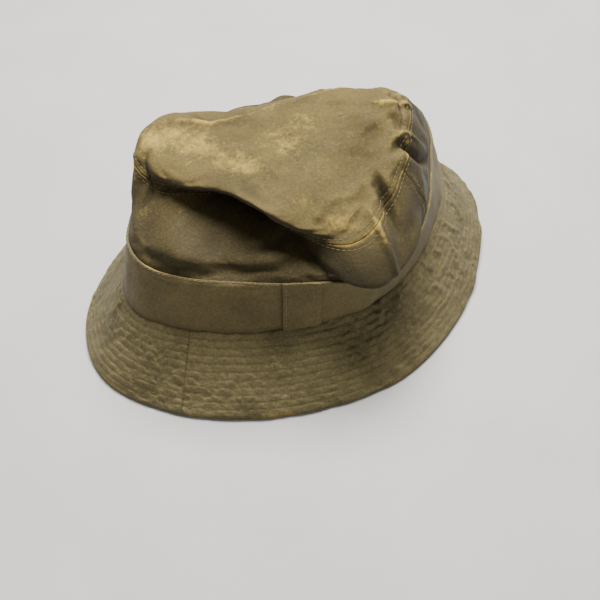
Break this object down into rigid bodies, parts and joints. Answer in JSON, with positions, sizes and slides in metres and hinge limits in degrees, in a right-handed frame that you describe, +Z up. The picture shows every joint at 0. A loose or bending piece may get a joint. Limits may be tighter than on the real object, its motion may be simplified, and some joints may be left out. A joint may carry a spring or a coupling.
{
  "type": "bucket hat",
  "caption": "Soft waxed-cotton bucket hat lying on its brim with the crown pushed in, a sloping stitched brim, a hatband with a keeper tab, and an open head hollow beneath.",
  "frame": {"origin": "under the middle of the hat's outline, on the surface that it lies on", "axes": "+X to the back of the hat along its long axis, +Y to the wearer's right, +Z up"},
  "size_m": [0.293, 0.2236, 0.1215],
  "materials": {
    "waxed_cotton": "olive-brown waxed cotton canvas, dull, with pale scuffs",
    "band_cotton": "olive-brown waxed cotton, smoother and darker",
    "interlining": "stiff undyed buckram",
    "sweatband_twill": "dark cotton twill tape",
    "lining_cotton": "plain woven cotton",
    "label_satin": "blank woven satin label",
    "thread": "polyester-cotton sewing thread"
  },
  "bodies": {
    "root": {"crown_tip": "waxed_cotton", "crown_side_front": "waxed_cotton", "crown_side_back": "waxed_cotton", "hatband": "band_cotton", "hatband_tab": "band_cotton", "brim_upper_right": "waxed_cotton", "brim_upper_left": "waxed_cotton", "brim_interlining": "interlining", "brim_lower_right": "waxed_cotton", "brim_lower_left": "waxed_cotton", "sweatband": "sweatband_twill", "size_label": "label_satin", "lining_tip": "lining_cotton", "lining_side_front": "lining_cotton", "lining_side_back": "lining_cotton", "brim_topstitching": "thread", "hatband_stitching": "thread", "tab_stitching": "thread", "crown_seam_stitching": "thread", "tip_seam_stitching": "thread", "sweatband_stitching": "thread"}
  },
  "joints": []
}
